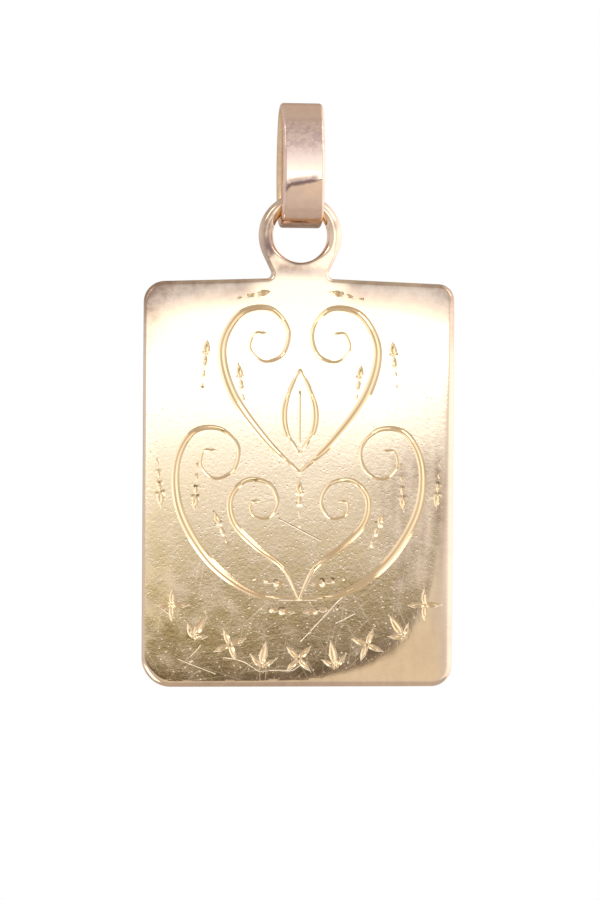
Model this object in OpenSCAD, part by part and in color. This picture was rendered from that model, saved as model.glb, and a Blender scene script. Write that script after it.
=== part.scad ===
// Engraved rectangular medal on a flat oval bail. Millimetres, +Z up, the engraved face looks along -Y.
// The origin is the inside top of the bail, where a chain runs.

/* [Plate] */
// Width of the plate
plate_w = 20; // [16:0.5:24]
// Height of the plate, from its bottom edge to the ridge under the eye
plate_h = 26.2; // [24:0.1:30]
// Thickness of the plate
plate_t = 1; // [0.95:0.05:1.6]
// Fall of the top edge from its middle to each side
roof_fall = 0.35; // [0.1:0.05:0.8]
// Radius of the plate's corners, seen from the front
corner_r = 1; // [0.8:0.1:2]
// Rounding of the rim towards the front
front_round = 0.6; // [0.3:0.05:0.6]
// Rounding of the rim towards the back
back_round = 0.3; // [0.2:0.05:0.3]

/* [Eye] */
// Diameter of the hole in the eye
eye_hole_d = 3.5; // [3.4:0.05:3.8]
// Width of the eye's ring, seen from the front
eye_ring_w = 0.92; // [0.8:0.02:1.1]
// Thickness of the eye, from front to back
eye_t = 0.94; // [0.8:0.02:1]
// Rounding of the eye's ring
eye_round = 0.32; // [0.2:0.02:0.38]
// Height of the eye's centre over the plate's ridge
eye_lift = 2.7; // [2.6:0.05:3]
// Thickness of the neck under the eye
neck_t = 0.84; // [0.7:0.02:0.86]
// Slope of the neck's sides from the upright
neck_slope = 26; // [20:1:30]
// Fillet between the neck and the plate
neck_fillet = 0.35; // [0.2:0.05:0.5]

/* [Bail] */
// Height of the bail, outside
bail_h = 8; // [7.5:0.1:9]
// Depth of the bail from front to back, outside
bail_depth = 4.6; // [4.5:0.1:5]
// Width of the bail's band
bail_w = 2.66; // [2.4:0.02:2.7]
// Thickness of the bail's band
bail_t = 0.75; // [0.65:0.05:0.8]
// Outer radius of the bail's top bend
bail_top_r = 1.75; // [1.6:0.05:2]
// Outer radius of the bail's bottom bend
bail_bottom_r = 2.1; // [2:0.05:2.2]
// Rounding of the band's inner edges
band_inner_round = 0.3; // [0.25:0.01:0.3]
// Rounding of the band's outer edges
band_outer_round = 0.2; // [0.1:0.05:0.25]
// Play between the eye and the band it hangs on
hang_play = 0.09; // [0.06:0.01:0.15]

/* [Engraving] */
// Depth of the engraved lines
cut_depth = 0.12; // [0.08:0.01:0.2]
// Greatest width of the large scrolls
scroll_w = 0.6; // [0.4:0.05:0.8]
// Greatest width of the inner scrolls and the leaf
inner_scroll_w = 0.4; // [0.25:0.05:0.5]
// Width of the fine lines
hairline_w = 0.16; // [0.12:0.02:0.24]
// Radius of the arc that the garland under the scrolls follows
garland_r = 11.3; // [11:0.1:11.5]
// Number of sprigs in the garland
garland_count = 9; // [7:2:11]
// Half of the angle that the garland spans
garland_reach = 46; // [40:1:48]
// Height of one sprig
sprig_h = 1.9; // [1.4:0.1:2.2]

/* [Hidden] */
$fn = 64;
GOLD = [0.85, 0.68, 0.47];
PINK_GOLD = [0.84, 0.65, 0.52];

// Sizes that follow from the driving ones
hole_r = eye_hole_d / 2;
eye_r = hole_r + eye_ring_w;
ring_centre_r = hole_r + eye_ring_w / 2;
roof_slope = atan(roof_fall / (plate_w / 2));
reach = 2 * (plate_w + plate_h);
// Small overlaps, in millimetres and degrees, that let neighbouring surfaces join cleanly
rim_ease = 0.02;
seam_ease = 0.03;
bend_ease = 0.01;

// The band touches the round hole on its rounded inner edges, about halfway round them
touch_x = bail_w / 2 - band_inner_round * (1 - sin(45));
touch_drop = hole_r - sqrt(hole_r * hole_r - touch_x * touch_x) - band_inner_round * (1 - cos(45));
band_floor_z = -(bail_h - 2 * bail_t);
eye_z = band_floor_z + touch_drop + hang_play - hole_r;
ridge_z = -eye_lift;
base_z = ridge_z - plate_h;
plate_mid_z = ridge_z - plate_h / 2;

// The bail's outline from the side: two end bends joined by two long side arcs
half_depth = bail_depth / 2;
top_bend_z = bail_h - bail_top_r;
bottom_bend_z = bail_bottom_r;
function bend_gap(side_r, end_r) = sqrt((half_depth - end_r) * (2 * side_r - end_r - half_depth));
function side_arc_r(low, high, tries) =
    let (mid = (low + high) / 2,
         height = bend_gap(mid, bail_top_r) + bend_gap(mid, bail_bottom_r))
    tries == 0 ? mid
    : height < top_bend_z - bottom_bend_z ? side_arc_r(mid, high, tries - 1)
    : side_arc_r(low, mid, tries - 1);
side_r = side_arc_r(half_depth, 50 * half_depth, 40);
side_z = bottom_bend_z + bend_gap(side_r, bail_bottom_r);
side_y = half_depth - side_r;
top_turn = atan2(top_bend_z - side_z, -side_y);
bottom_turn = atan2(side_z - bottom_bend_z, -side_y);

// The plate's outline from the front, with its middle ridge, as x and z
plate_outline = [
    [-plate_w / 2, base_z],
    [plate_w / 2, base_z],
    [plate_w / 2, ridge_z - roof_fall],
    [0, ridge_z],
    [-plate_w / 2, ridge_z - roof_fall]
];
plate_radii = [corner_r, corner_r, corner_r, 0, corner_r];

// Right-hand scrolls, as x and z from the plate's middle; the left-hand ones mirror them
heart_scroll = [[0, 0.6], [2.2, 2.7], [4.3, 5.6], [5, 8.5], [3.9, 10.7], [2, 11.1],
                [0.8, 9.8], [1.1, 8.2], [2.3, 7.7], [3.2, 8.5], [2.9, 9.5], [2.2, 9.5]];
bowl_scroll = [[0, -7.5], [2.9, -7.1], [5.7, -5.1], [7.6, -2], [7.9, 1], [6.9, 3.1],
               [5.2, 3.4], [4, 2.3], [4.2, 0.8], [5.4, 0.2], [6.3, 1], [6.1, 2], [5.4, 2]];
inner_scroll = [[0, -7.5], [1, -5.5], [2.8, -4.1], [4.2, -2.6], [4.4, -1], [3.4, 0.1],
                [2, -0.1], [1.4, -1.3], [2, -2.3], [3, -2.1], [3.1, -1.3], [2.6, -1.2]];
leaf_side = [[0, 1.8], [0.85, 3.2], [1, 4.6], [0.6, 6], [0, 7.2]];
leaf_vein = [[0, 2.4], [0, 4], [0, 5.8]];

// Rows of drops beside the scrolls: x, z, heading of the row, its number of drops, size of the first
drop_rows = [
    [6, 8.6, -84, 4, 0.9],
    [3.9, 7.1, -98, 4, 0.8],
    [2.3, 12.1, -12, 3, 0.75],
    [8.9, -1.2, 86, 4, 0.9],
    [6.7, -1.4, 94, 4, 0.8],
    [1.1, -6.5, 10, 3, 0.7],
    [0.7, -8.3, 8, 3, 0.7],
    [5.3, -2.3, -112, 3, 0.7]
];
middle_row = [0, -0.3, -90, 4, 0.8];
// From one drop of a row to the next: their distance, and how much smaller each is
drop_pitch = 0.72;
drop_shrink = 0.62;
// Widest place of a drop, as a share of its length
drop_fatness = 0.5;
// How far along each kind of line is widest
heart_peak = 0.3;
bowl_peak = 0.32;
inner_peak = 0.36;
leaf_peak = 0.45;
vein_peak = 0.5;
// How sharply a line swells
swell_power = 1.8;

// Convex outline with its corners rounded, each to a radius of its own
function unit(v) = v / norm(v);
function to_corner(points, i) = unit(points[(i + len(points) - 1) % len(points)] - points[i]);
function from_corner(points, i) = unit(points[(i + 1) % len(points)] - points[i]);
function half_angle(points, i) = acos(to_corner(points, i) * from_corner(points, i)) / 2;
function corner_points(points, radii, i) =
    radii[i] == 0 ? [points[i]]
    : let (back = radii[i] / tan(half_angle(points, i)))
      [points[i] + to_corner(points, i) * back, points[i] + from_corner(points, i) * back];
function corner_centre(points, radii, i) =
    points[i] + unit(to_corner(points, i) + from_corner(points, i)) * radii[i] / sin(half_angle(points, i));

module rounded(points, radii) {
    polygon([for (i = [0:len(points) - 1]) each corner_points(points, radii, i)]);
    for (i = [0:len(points) - 1])
        if (radii[i] > 0) translate(corner_centre(points, radii, i)) circle(radii[i]);
}

module rounded_rectangle(width, height, radius) {
    rounded([[0, 0], [width, 0], [width, height], [0, height]], [radius, radius, radius, radius]);
}

// Stands a flat drawing upright, as thick as given and centred from front to back
module upright(thickness) {
    translate([0, thickness / 2, 0]) rotate([90, 0, 0]) linear_extrude(height = thickness) children();
}

// Smooth curve through a few points
function spline_point(a, b, c, d, t) =
    0.5 * (2 * b + (c - a) * t + (2 * a - 5 * b + 4 * c - d) * t * t + (3 * b - a - 3 * c + d) * t * t * t);
function spline(points, steps) =
    let (last = len(points) - 1,
         all = concat([2 * points[0] - points[1]], points, [2 * points[last] - points[last - 1]]))
    concat([for (i = [0:last - 1], k = [0:steps - 1])
                spline_point(all[i], all[i + 1], all[i + 2], all[i + 3], k / steps)],
           [points[last]]);

// A line that swells between its ends; peak is how far along it is widest
function swell(along, peak) = pow(sin(180 * pow(along, ln(0.5) / ln(peak))), swell_power);
module stroke(points, width, peak) {
    path = spline(points, 4);
    last = len(path) - 1;
    side = [for (i = [0:last])
        let (ahead = unit(path[min(i + 1, last)] - path[max(i - 1, 0)]),
             half = (hairline_w + (width - hairline_w) * swell(i / last, peak)) / 2)
        half * [-ahead[1], ahead[0]]];
    polygon(concat([for (i = [0:last]) path[i] + side[i]],
                   [for (i = [last:-1:0]) path[i] - side[i]]));
}

// A drop with its point along +X
module drop(length) {
    fullest = 0.77;
    polygon([for (a = [0:30:330])
        length / 2 * [cos(a), drop_fatness / fullest * sin(a) * sin(a / 2)]]);
}

module drop_row(row) {
    translate([row[0], row[1]]) rotate(row[2])
        for (i = [0:row[3] - 1])
            translate([drop_pitch * i, 0]) rotate(180) drop(row[4] * pow(drop_shrink, i));
}

module mirrored() {
    children();
    mirror([1, 0]) children();
}

// Sprigs of the garland: a flower of four petals, and between two flowers a leaf with two side leaves
petal = sprig_h / 2;
leaf = sprig_h * 0.7;
side_leaf = sprig_h * 0.45;
side_leaf_turn = 40;
module flower() {
    for (a = [45:90:315]) rotate(a) translate([petal * 0.6, 0]) drop(petal);
}

module sprig() {
    translate([0, leaf / 6]) rotate(90) drop(leaf);
    mirrored() translate(side_leaf / 2 * [1, -1]) rotate(side_leaf_turn) drop(side_leaf);
}

module garland() {
    pitch = 2 * garland_reach / (garland_count - 1);
    for (i = [0:garland_count - 1])
        rotate(-garland_reach + i * pitch) translate([0, -garland_r])
            if (i % 2 == 0) flower(); else sprig();
}

module engraving() {
    mirrored() {
        stroke(heart_scroll, scroll_w, heart_peak);
        stroke(bowl_scroll, scroll_w, bowl_peak);
        stroke(inner_scroll, inner_scroll_w, inner_peak);
        stroke(leaf_side, inner_scroll_w, leaf_peak);
        for (row = drop_rows) drop_row(row);
    }
    stroke(leaf_vein, hairline_w, vein_peak);
    drop_row(middle_row);
    garland();
}

// A slab far larger than the plate, with one rounded edge along the line from a to b
module rim_slab(a, b) {
    section = [[-rim_ease, 0], [reach, 0], [reach, plate_t], [-rim_ease, plate_t]];
    translate([a[0], a[1], 0]) rotate([0, 0, atan2(b[1] - a[1], b[0] - a[0])])
        translate([-reach, 0, 0]) rotate([90, 0, 90]) linear_extrude(height = 2 * reach)
            rounded(section, [back_round, 0, 0, front_round]);
}

module plate() {
    translate([0, plate_t / 2, 0]) rotate([90, 0, 0]) difference() {
        intersection() {
            translate([0, 0, -plate_t]) linear_extrude(height = 3 * plate_t)
                rounded(plate_outline, plate_radii);
            intersection_for(i = [0:len(plate_outline) - 1])
                rim_slab(plate_outline[i], plate_outline[(i + 1) % len(plate_outline)]);
        }
        translate([0, plate_mid_z, plate_t - cut_depth]) linear_extrude(height = plate_t) engraving();
    }
}

// The neck's side touches the eye's ring at neck_slope below its middle and falls to the plate's top edge
neck_top = (eye_r - seam_ease) * [cos(neck_slope), -sin(neck_slope)];
side_way = [-sin(neck_slope), -cos(neck_slope)];
roof_way = [cos(roof_slope), -sin(roof_slope)];
fall = (neck_top[1] - ridge_z + neck_top[0] * tan(roof_slope))
    / (cos(neck_slope) + sin(neck_slope) * tan(roof_slope));
neck_foot = neck_top + side_way * fall;
foot_half_angle = acos(-side_way * roof_way) / 2;
fillet_back = neck_fillet / tan(foot_half_angle);
fillet_centre = neck_foot + unit(roof_way - side_way) * neck_fillet / sin(foot_half_angle);

module neck_side() {
    difference() {
        polygon([[0, neck_top[1]], neck_top, neck_foot - side_way * fillet_back,
                 neck_foot + roof_way * fillet_back, neck_foot + roof_way * fillet_back - [0, plate_t],
                 [0, ridge_z - plate_t]]);
        circle(ring_centre_r);
        translate(fillet_centre) circle(neck_fillet);
    }
}

module eye() {
    rotate([90, 0, 0]) rotate_extrude()
        translate([hole_r, -eye_t / 2]) rounded_rectangle(eye_ring_w, eye_t, eye_round);
    upright(neck_t) mirrored() neck_side();
}

module medal() {
    color(GOLD) translate([0, 0, eye_z]) union() {
        plate();
        eye();
    }
}

// One bend of the bail's band, turned about its own centre between two angles from the front-to-back line
module band_bend(radius, from, to) {
    section = [[0, 0], [bail_t, 0], [bail_t, bail_w], [0, bail_w]];
    radii = [band_inner_round, band_outer_round, band_outer_round, band_inner_round];
    rotate([0, 0, from]) rotate_extrude(angle = to - from)
        translate([radius - bail_t, -bail_w / 2]) rounded(section, radii);
}

module bail() {
    color(PINK_GOLD) translate([0, 0, bail_t - bail_h]) rotate([90, 0, 90]) union() {
        translate([0, top_bend_z, 0])
            band_bend(bail_top_r, top_turn - bend_ease, 180 - top_turn + bend_ease);
        translate([0, bottom_bend_z, 0])
            band_bend(bail_bottom_r, 180 + bottom_turn - bend_ease, 360 - bottom_turn + bend_ease);
        translate([side_y, side_z, 0]) band_bend(side_r, -bottom_turn, top_turn);
        mirror([1, 0, 0]) translate([side_y, side_z, 0]) band_bend(side_r, -bottom_turn, top_turn);
    }
}

bail();
medal();
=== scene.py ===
import math

import bpy
import numpy as np
from mathutils import Matrix, Vector, noise
from mathutils.geometry import delaunay_2d_cdt


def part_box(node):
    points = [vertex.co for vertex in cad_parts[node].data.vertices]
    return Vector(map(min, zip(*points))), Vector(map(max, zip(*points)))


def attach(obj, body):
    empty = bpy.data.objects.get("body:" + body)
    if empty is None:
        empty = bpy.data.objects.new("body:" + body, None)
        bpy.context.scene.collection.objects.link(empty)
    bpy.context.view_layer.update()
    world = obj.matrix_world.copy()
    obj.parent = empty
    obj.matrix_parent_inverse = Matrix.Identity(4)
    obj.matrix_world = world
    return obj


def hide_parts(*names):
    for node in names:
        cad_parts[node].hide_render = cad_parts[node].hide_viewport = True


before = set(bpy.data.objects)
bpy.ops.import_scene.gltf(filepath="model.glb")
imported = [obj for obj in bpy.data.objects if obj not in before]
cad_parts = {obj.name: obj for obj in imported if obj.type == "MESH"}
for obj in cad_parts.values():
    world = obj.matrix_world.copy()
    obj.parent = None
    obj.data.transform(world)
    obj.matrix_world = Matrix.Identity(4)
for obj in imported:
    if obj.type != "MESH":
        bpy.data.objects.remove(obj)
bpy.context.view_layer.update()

# A worn gold medal on its bail. The medal's mesh is filled in from its outline and its engraved cuts, and the
# bail is swept by Geometry Nodes. Both carry marks of wear, tarnish and dirt at their points, with painted
# shade and a painted reflection among them, which one kind of gold reads.

# Every size below is in millimetres unless its comment says otherwise; meshes are made in metres
MM = 0.001

# The frame's own sizes
MEDAL_LOW, MEDAL_HIGH = (np.array(corner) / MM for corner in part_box("medal"))
BAIL_LOW, BAIL_HIGH = (np.array(corner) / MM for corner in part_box("bail"))

# Eye and neck
HOLE_R = 1.75
RING_W = 0.92
EYE_R = HOLE_R + RING_W
EYE_Z = MEDAL_HIGH[2] - EYE_R
EYE_HALF_T = 0.45
EYE_LIFT = 2.7
NECK_SLOPE = 26
NECK_FILLET = 0.35

# Plate, in the medal's plane: x to the right, z up from the eye's centre
HALF_W = MEDAL_HIGH[0]
HALF_T = MEDAL_HIGH[1]
RIDGE_Z = -EYE_LIFT
ROOF_FALL = 0.35
BASE_Z = MEDAL_LOW[2] - EYE_Z
MIDDLE_Z = (RIDGE_Z + BASE_Z) / 2
TOP_LEFT_CORNER_R = 1.35
TOP_RIGHT_CORNER_R = 1.0
LEFT_CORNER_R = 1.85
RIGHT_CORNER_R = 1.35

# Heights between which the plate becomes the neck
NECK_FROM = RIDGE_Z - 0.1
NECK_FULL = RIDGE_Z + 0.7

# Radii of the rounded rims, and the heights or the x between which one becomes the next
TOP_ROUND = 0.3
BASE_ROUND = 0.36
LEFT_ROUND = 0.14
RIGHT_ROUND = 0.36
BACK_ROUND = 0.25
NECK_ROUND = 0.2
EYE_ROUND = 0.42
TOP_ROUND_FADE = (RIDGE_Z - 2.2, RIDGE_Z - 0.8)
BASE_ROUND_FADE = (BASE_Z + 2.2, BASE_Z + 0.6)
RIGHT_ROUND_FADE = (-2, 2)
EYE_ROUND_FADE = (-1.6, -0.6)

# The rim is rounder at the lower left corner: x, z, how far that reaches along each, and the radius it adds
WORN_CORNER = [(-HALF_W + 0.5, BASE_Z + 0.5, 0.8, 0.8, 0.06)]

# Mesh: its steps, the clear space round fixed lines as a share of the grid, what counts as one point, how
# many points are measured at once, and the angle of a sharp edge in degrees
OUTLINE_STEP = 0.16
ARC_STEP_SHARE = 0.12
RIM_STEPS = 7
FRONT_GRID = 0.17
BACK_GRID = 0.5
GRID_CLEARANCE = 0.5
SAME_POINT = 1e-5
POINTS_AT_ONCE = 400
SHARP_ANGLE = 28

# Camera, on the photograph's frame
FRAME_H = 900
FRAME_MIDDLE = (300, 450)
PIXEL = 0.0641
PLATE_MIDDLE_COLUMN = 298.8
RIDGE_ROW = 277.7
CAMERA_DISTANCE = 215
CAMERA_AZIMUTH = -6.5
CAMERA_ROLL = 0.35
CAMERA_NEAR = 10
SENSOR = 36


def put(name, data):
    """A new object in the scene."""
    made = bpy.data.objects.new(name, data)
    bpy.context.scene.collection.objects.link(made)
    return made


def stood_off(aim, way, distance, roll=0):
    """A placing at a distance from its aim, along a way, that looks back at the aim."""
    turned = way.to_track_quat("Z", "Y").to_matrix().to_4x4() @ Matrix.Rotation(math.radians(roll), 4, "Z")
    return Matrix.Translation((Vector(aim) + way * distance) * MM) @ turned


def camera():
    """The photograph's view: a little from the left, level with the picture's middle."""
    aim_x = (FRAME_MIDDLE[0] - PLATE_MIDDLE_COLUMN) * PIXEL
    aim_z = EYE_Z + RIDGE_Z - (FRAME_MIDDLE[1] - RIDGE_ROW) * PIXEL
    turn = math.radians(CAMERA_AZIMUTH)
    back = Vector((math.sin(turn), -math.cos(turn), 0))
    data = bpy.data.cameras.new("camera")
    data.sensor_width = SENSOR
    data.lens = SENSOR * CAMERA_DISTANCE / (FRAME_H * PIXEL)
    data.clip_start = CAMERA_NEAR * MM
    made = put("camera", data)
    made.matrix_world = stood_off((aim_x, 0, aim_z), back, CAMERA_DISTANCE, CAMERA_ROLL)
    bpy.context.scene.camera = made


camera()


def node(tree, kind, inputs=None, **settings):
    """A node with its settings and inputs; an input that is a socket is linked."""
    made = tree.nodes.new(kind)
    for name, value in settings.items():
        setattr(made, name, value)
    for name, value in (inputs or {}).items():
        if isinstance(value, bpy.types.NodeSocket):
            tree.links.new(value, made.inputs[name])
        else:
            made.inputs[name].default_value = value
    return made


def calculate(tree, operation, first, second=0.0, third=0.0):
    """The output of a Math node."""
    values = {0: first, 1: second, 2: third}
    return node(tree, "ShaderNodeMath", values, operation=operation).outputs[0]


def product(tree, *values):
    """The product of sockets and numbers."""
    total = values[0]
    for value in values[1:]:
        total = calculate(tree, "MULTIPLY", total, value)
    return total


def scaled(tree, value, factor, offset):
    """A value times a factor, plus an offset."""
    return calculate(tree, "MULTIPLY_ADD", value, factor, offset)


def difference(tree, first, second):
    """The first less the second."""
    return calculate(tree, "SUBTRACT", first, second)


def greater(tree, first, second):
    """The greater of two."""
    return calculate(tree, "MAXIMUM", first, second)


def ramp(tree, value, low, high):
    """0 below low, 1 above high, smooth between; low may be the greater of the two."""
    return node(tree, "ShaderNodeMapRange", {"Value": value, "From Min": low, "From Max": high},
                interpolation_type="SMOOTHSTEP").outputs[0]


def smooth(low, high, value):
    """0 below low, 1 above high and an even curve between them."""
    share = np.clip((value - low) / (high - low), 0, 1)
    return share * share * (3 - 2 * share)


def unit(vectors):
    """The vectors at a length of 1."""
    return vectors / np.linalg.norm(vectors, axis=-1, keepdims=True)


def towards(heading):
    """The unit vector at an angle in degrees."""
    turn = math.radians(heading)
    return np.array([math.cos(turn), math.sin(turn)])


def turning(degrees):
    """The matrix that turns rows of points anticlockwise."""
    x, z = towards(degrees)
    return np.array([[x, z], [-z, x]])


# Outline of the medal, seen from the front


def line(start, end):
    """Points along a straight line, without its last."""
    start, end = np.array(start, float), np.array(end, float)
    count = max(1, round(np.linalg.norm(end - start) / OUTLINE_STEP))
    return start + (end - start) * np.arange(count)[:, None] / count


def arc(centre, radius, start, end, longest=OUTLINE_STEP):
    """Points along an arc between two angles in degrees, without its last."""
    step = min(longest, ARC_STEP_SHARE * radius)
    count = max(2, math.ceil(abs(math.radians(end - start)) * radius / step))
    angles = np.radians(start + (end - start) * np.arange(count) / count)
    return np.array(centre) + radius * np.stack([np.cos(angles), np.sin(angles)], 1)


def rounded_path(points, radii):
    """A path through points, whose inner ones are rounded to the radii."""
    pieces, last = [], np.array(points[0], float)
    for before, corner, after, radius in zip(points, points[1:], points[2:], radii):
        corner = np.array(corner, float)
        back, ahead = unit(before - corner), unit(after - corner)
        half = math.acos(back @ ahead) / 2
        start = corner + back * radius / math.tan(half)
        end = corner + ahead * radius / math.tan(half)
        centre = corner + unit(back + ahead) * radius / math.sin(half)
        from_angle, to_angle = (math.degrees(math.atan2(*(p - centre)[::-1])) for p in (start, end))
        to_angle = from_angle + (to_angle - from_angle + 180) % 360 - 180
        pieces += [line(last, start), arc(centre, radius, from_angle, to_angle)]
        last = end
    return np.concatenate(pieces + [line(last, points[-1])])


def medal_outline():
    """Outer outline, anticlockwise: down from the eye's left side, round the plate, up and round the eye."""
    slope = math.radians(NECK_SLOPE)
    touch = EYE_R * np.array([math.cos(slope), -math.sin(slope)])
    roof = ROOF_FALL / HALF_W
    fall = (touch[1] - RIDGE_Z + touch[0] * roof) / (math.cos(slope) + math.sin(slope) * roof)
    foot = touch - fall * np.array([math.sin(slope), math.cos(slope)])
    shoulder = np.array([HALF_W, RIDGE_Z - ROOF_FALL])
    base = np.array([HALF_W, BASE_Z])
    left = np.array([-1, 1])
    path = [touch * left, foot * left, shoulder * left, base * left, base, shoulder, foot, touch]
    radii = [NECK_FILLET, TOP_LEFT_CORNER_R, LEFT_CORNER_R, RIGHT_CORNER_R, TOP_RIGHT_CORNER_R, NECK_FILLET]
    return np.concatenate([rounded_path(path, radii), arc((0, 0), EYE_R, -NECK_SLOPE, 180 + NECK_SLOPE)])


def hole_outline():
    """The eye's hole, clockwise, so that the metal is on its left as well."""
    return arc((0, 0), HOLE_R, 0, -360)


def inward(outline):
    """Unit normals to the left of a closed outline."""
    along = unit(np.roll(outline, -1, 0) - np.roll(outline, 1, 0))
    return np.stack([-along[:, 1], along[:, 0]], 1)


def eye_share(points):
    """0 on the plate, 1 on the neck and the eye."""
    return smooth(NECK_FROM, NECK_FULL, points[:, 1])


# Engraving: every cut is a path with a width at each of its points

HAIRLINE = 0.13
SCROLL_W = 0.6
INNER_W = 0.42
SWELL_POWER = 1.8
CUT_STEP = 0.11
CUT_DEPTH = 0.025
CUT_DEPTH_SHARE = 0.13
CUT_RUN_IN = 0.3
SHOULDER = 0.04
SPLINE_STEPS = 24

# A point belongs to a cut's nearest step, and a wide one counts as nearer by this share of its half width
WIDE_NEARER = 0.5

# Across a cut, in half widths: where its bright metal ends, and how far out its section is worked out
CUT_EDGE = (1.08, 0.9)
CUT_SIDE = 1.5

# No cut is taken to be narrower than this
LEAST_W = 1e-4

# A wide stroke is two cuts side by side: places across it and their share of the depth
TWO_CUTS = ((-1, -0.5, 0.03, 0.5, 1), (0, 1, 0.3, 0.88, 0))
TWO_CUTS_FROM = 0.2
TWO_CUTS_FULL = 0.4

HEART_SCROLL = [(0, 0.6), (2.2, 2.7), (4.3, 5.6), (5, 8.5), (3.9, 10.7), (2, 11.1),
                (0.8, 9.8), (1.1, 8.2), (2.3, 7.7), (3.2, 8.5), (2.9, 9.5), (2.2, 9.5)]
BOWL_SCROLL = [(0, -7.5), (2.9, -7.1), (5.7, -5.1), (7.6, -2), (7.9, 1), (6.9, 3.1),
               (5.2, 3.4), (4, 2.3), (4.2, 0.8), (5.4, 0.2), (6.3, 1), (6.1, 2), (5.4, 2)]
INNER_SCROLL = [(0, -7.5), (1, -5.5), (2.8, -4.1), (4.2, -2.6), (4.4, -1), (3.4, 0.1),
                (2, -0.1), (1.4, -1.3), (2, -2.3), (3, -2.1), (3.1, -1.3), (2.6, -1.2)]
LEAF_SIDE = [(0, 1.8), (0.85, 3.2), (1, 4.6), (0.6, 6), (0, 7.2)]
LEAF_VEIN = [(0, 2.4), (0, 4), (0, 5.8)]

# Path, greatest width and how far along it is widest, for the right-hand scrolls
SCROLLS = [
    (HEART_SCROLL, SCROLL_W, 0.3),
    (BOWL_SCROLL, SCROLL_W, 0.32),
    (INNER_SCROLL, INNER_W, 0.36),
    (LEAF_SIDE, INNER_W, 0.45),
]

# Rows of drops: x, z, heading of the row, its number of drops, length of the first
DROP_ROWS = [
    (6, 8.6, -84, 4, 0.8),
    (3.9, 7.1, -98, 4, 0.72),
    (2.3, 12.1, -12, 3, 0.7),
    (8.9, -1.2, 86, 4, 0.8),
    (6.7, -1.4, 94, 4, 0.72),
    (1.1, -6.5, 10, 3, 0.66),
    (0.7, -8.3, 8, 3, 0.66),
    (5.3, -2.3, -112, 3, 0.66),
]
MIDDLE_ROW = (0, -0.3, -90, 4, 0.72)
DROP_PITCH = 0.8
DROP_SHRINK = 0.62
DROP_FATNESS = 0.6
DROP_FULLEST = 0.77

# A drop runs between these angles of its round, in this many points
DROP_TURNS = (10, 170)
DROP_POINTS = 9

GARLAND_R = 11.3
GARLAND_COUNT = 9
GARLAND_REACH = 46
SPRIG_H = 1.9
LEAF_SHARE = 0.7
SIDE_LEAF_SHARE = 0.45
SIDE_LEAF_TURN = 40
PETAL_TURNS = (45, 135, 225, 315)
PETAL_OUT = 0.6
PETAL_FATNESS = 0.4

# Scratches, as paths from the plate's middle, with their width and depth
SCRATCHES = [
    ([(-4.8, -11.2), (-4, -11.3), (-3.4, -11.5), (-2.5, -12.1), (-1.7, -12), (-0.4, -12.05),
      (0.1, -11.7), (0.5, -11.6)], 0.07, 0.004),
    ([(-2.45, -12.6), (-2.45, -11.7), (-2.05, -11.7), (-2.1, -12.6)], 0.07, 0.005),
    ([(3.9, -6.4), (2.5, -7.6), (0.2, -10.1)], 0.07, 0.004),
    ([(-7.7, -11.3), (-5.4, -12.2)], 0.06, 0.003),
    ([(-6.9, -11.1), (-6.3, -10.4)], 0.07, 0.004),
    ([(-6.95, -11.46), (-6.9, -11.44)], 0.16, 0.012),
    ([(-1.2, -2.4), (1.3, -3.7)], 0.05, 0.002),
    ([(2.4, -9), (3.6, -8.4)], 0.06, 0.003),
    ([(-8.9, -8), (-7.9, -8.7)], 0.06, 0.003),
]
SCRATCH_STEP = 0.25
SCRATCH_TAPER = 0.08


def spline(points, step):
    """Even points along a smooth curve through a few given ones."""
    given = np.array(points, float)
    ends = 2 * given[[0, -1]] - given[[1, -2]]
    padded = np.concatenate([ends[:1], given, ends[1:]])
    a, b, c, d = (padded[i:len(given) - 1 + i, None] for i in range(4))
    t = (np.arange(SPLINE_STEPS) / SPLINE_STEPS)[None, :, None]
    fine = 0.5 * (2 * b + (c - a) * t + (2 * a - 5 * b + 4 * c - d) * t**2 + (3 * b - a - 3 * c + d) * t**3)
    return even(np.concatenate([fine.reshape(-1, 2), given[-1:]]), step)


def even(path, step):
    """The path with its points an even distance apart."""
    run = np.concatenate([[0], np.cumsum(np.linalg.norm(np.diff(path, axis=0), axis=1))])
    places = np.linspace(0, run[-1], max(2, round(run[-1] / step)) + 1)
    return np.stack([np.interp(places, run, path[:, i]) for i in (0, 1)], 1)


def swelling_cut(points, width, peak):
    """A line that is widest at a share of its length, its peak, as (path, half widths, depths)."""
    path = spline(points, CUT_STEP)
    along = np.linspace(0, 1, len(path)) ** (math.log(0.5) / math.log(peak))
    half = (HAIRLINE + (width - HAIRLINE) * np.sin(np.pi * along) ** SWELL_POWER) / 2
    end = np.minimum(np.arange(len(path)), np.arange(len(path))[::-1]) * CUT_STEP
    return path, half, (CUT_DEPTH + CUT_DEPTH_SHARE * 2 * half) * smooth(0, CUT_RUN_IN, end)


def drop_cut(middle, heading, length, fatness=DROP_FATNESS):
    """A drop whose point trails behind its heading, as (path, half widths, depths)."""
    turn = np.radians(np.linspace(*DROP_TURNS, DROP_POINTS))
    path = np.array(middle) - towards(heading) * (np.cos(turn) * length / 2)[:, None]
    half = fatness / DROP_FULLEST * np.sin(turn) * np.sin(turn / 2) * length / 2
    depth = np.full(len(path), CUT_DEPTH + CUT_DEPTH_SHARE * fatness * length)
    return path, half, depth * half / half.max()


def drop_row(x, z, heading, count, length):
    """Drops in a straight row, each smaller than the one before."""
    return [drop_cut((x, z) + towards(heading) * DROP_PITCH * i, heading, length * DROP_SHRINK**i)
            for i in range(count)]


def mirrored(cuts):
    """The cuts and their mirror images."""
    return cuts + [(path * (-1, 1), half, depth) for path, half, depth in cuts]


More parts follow.
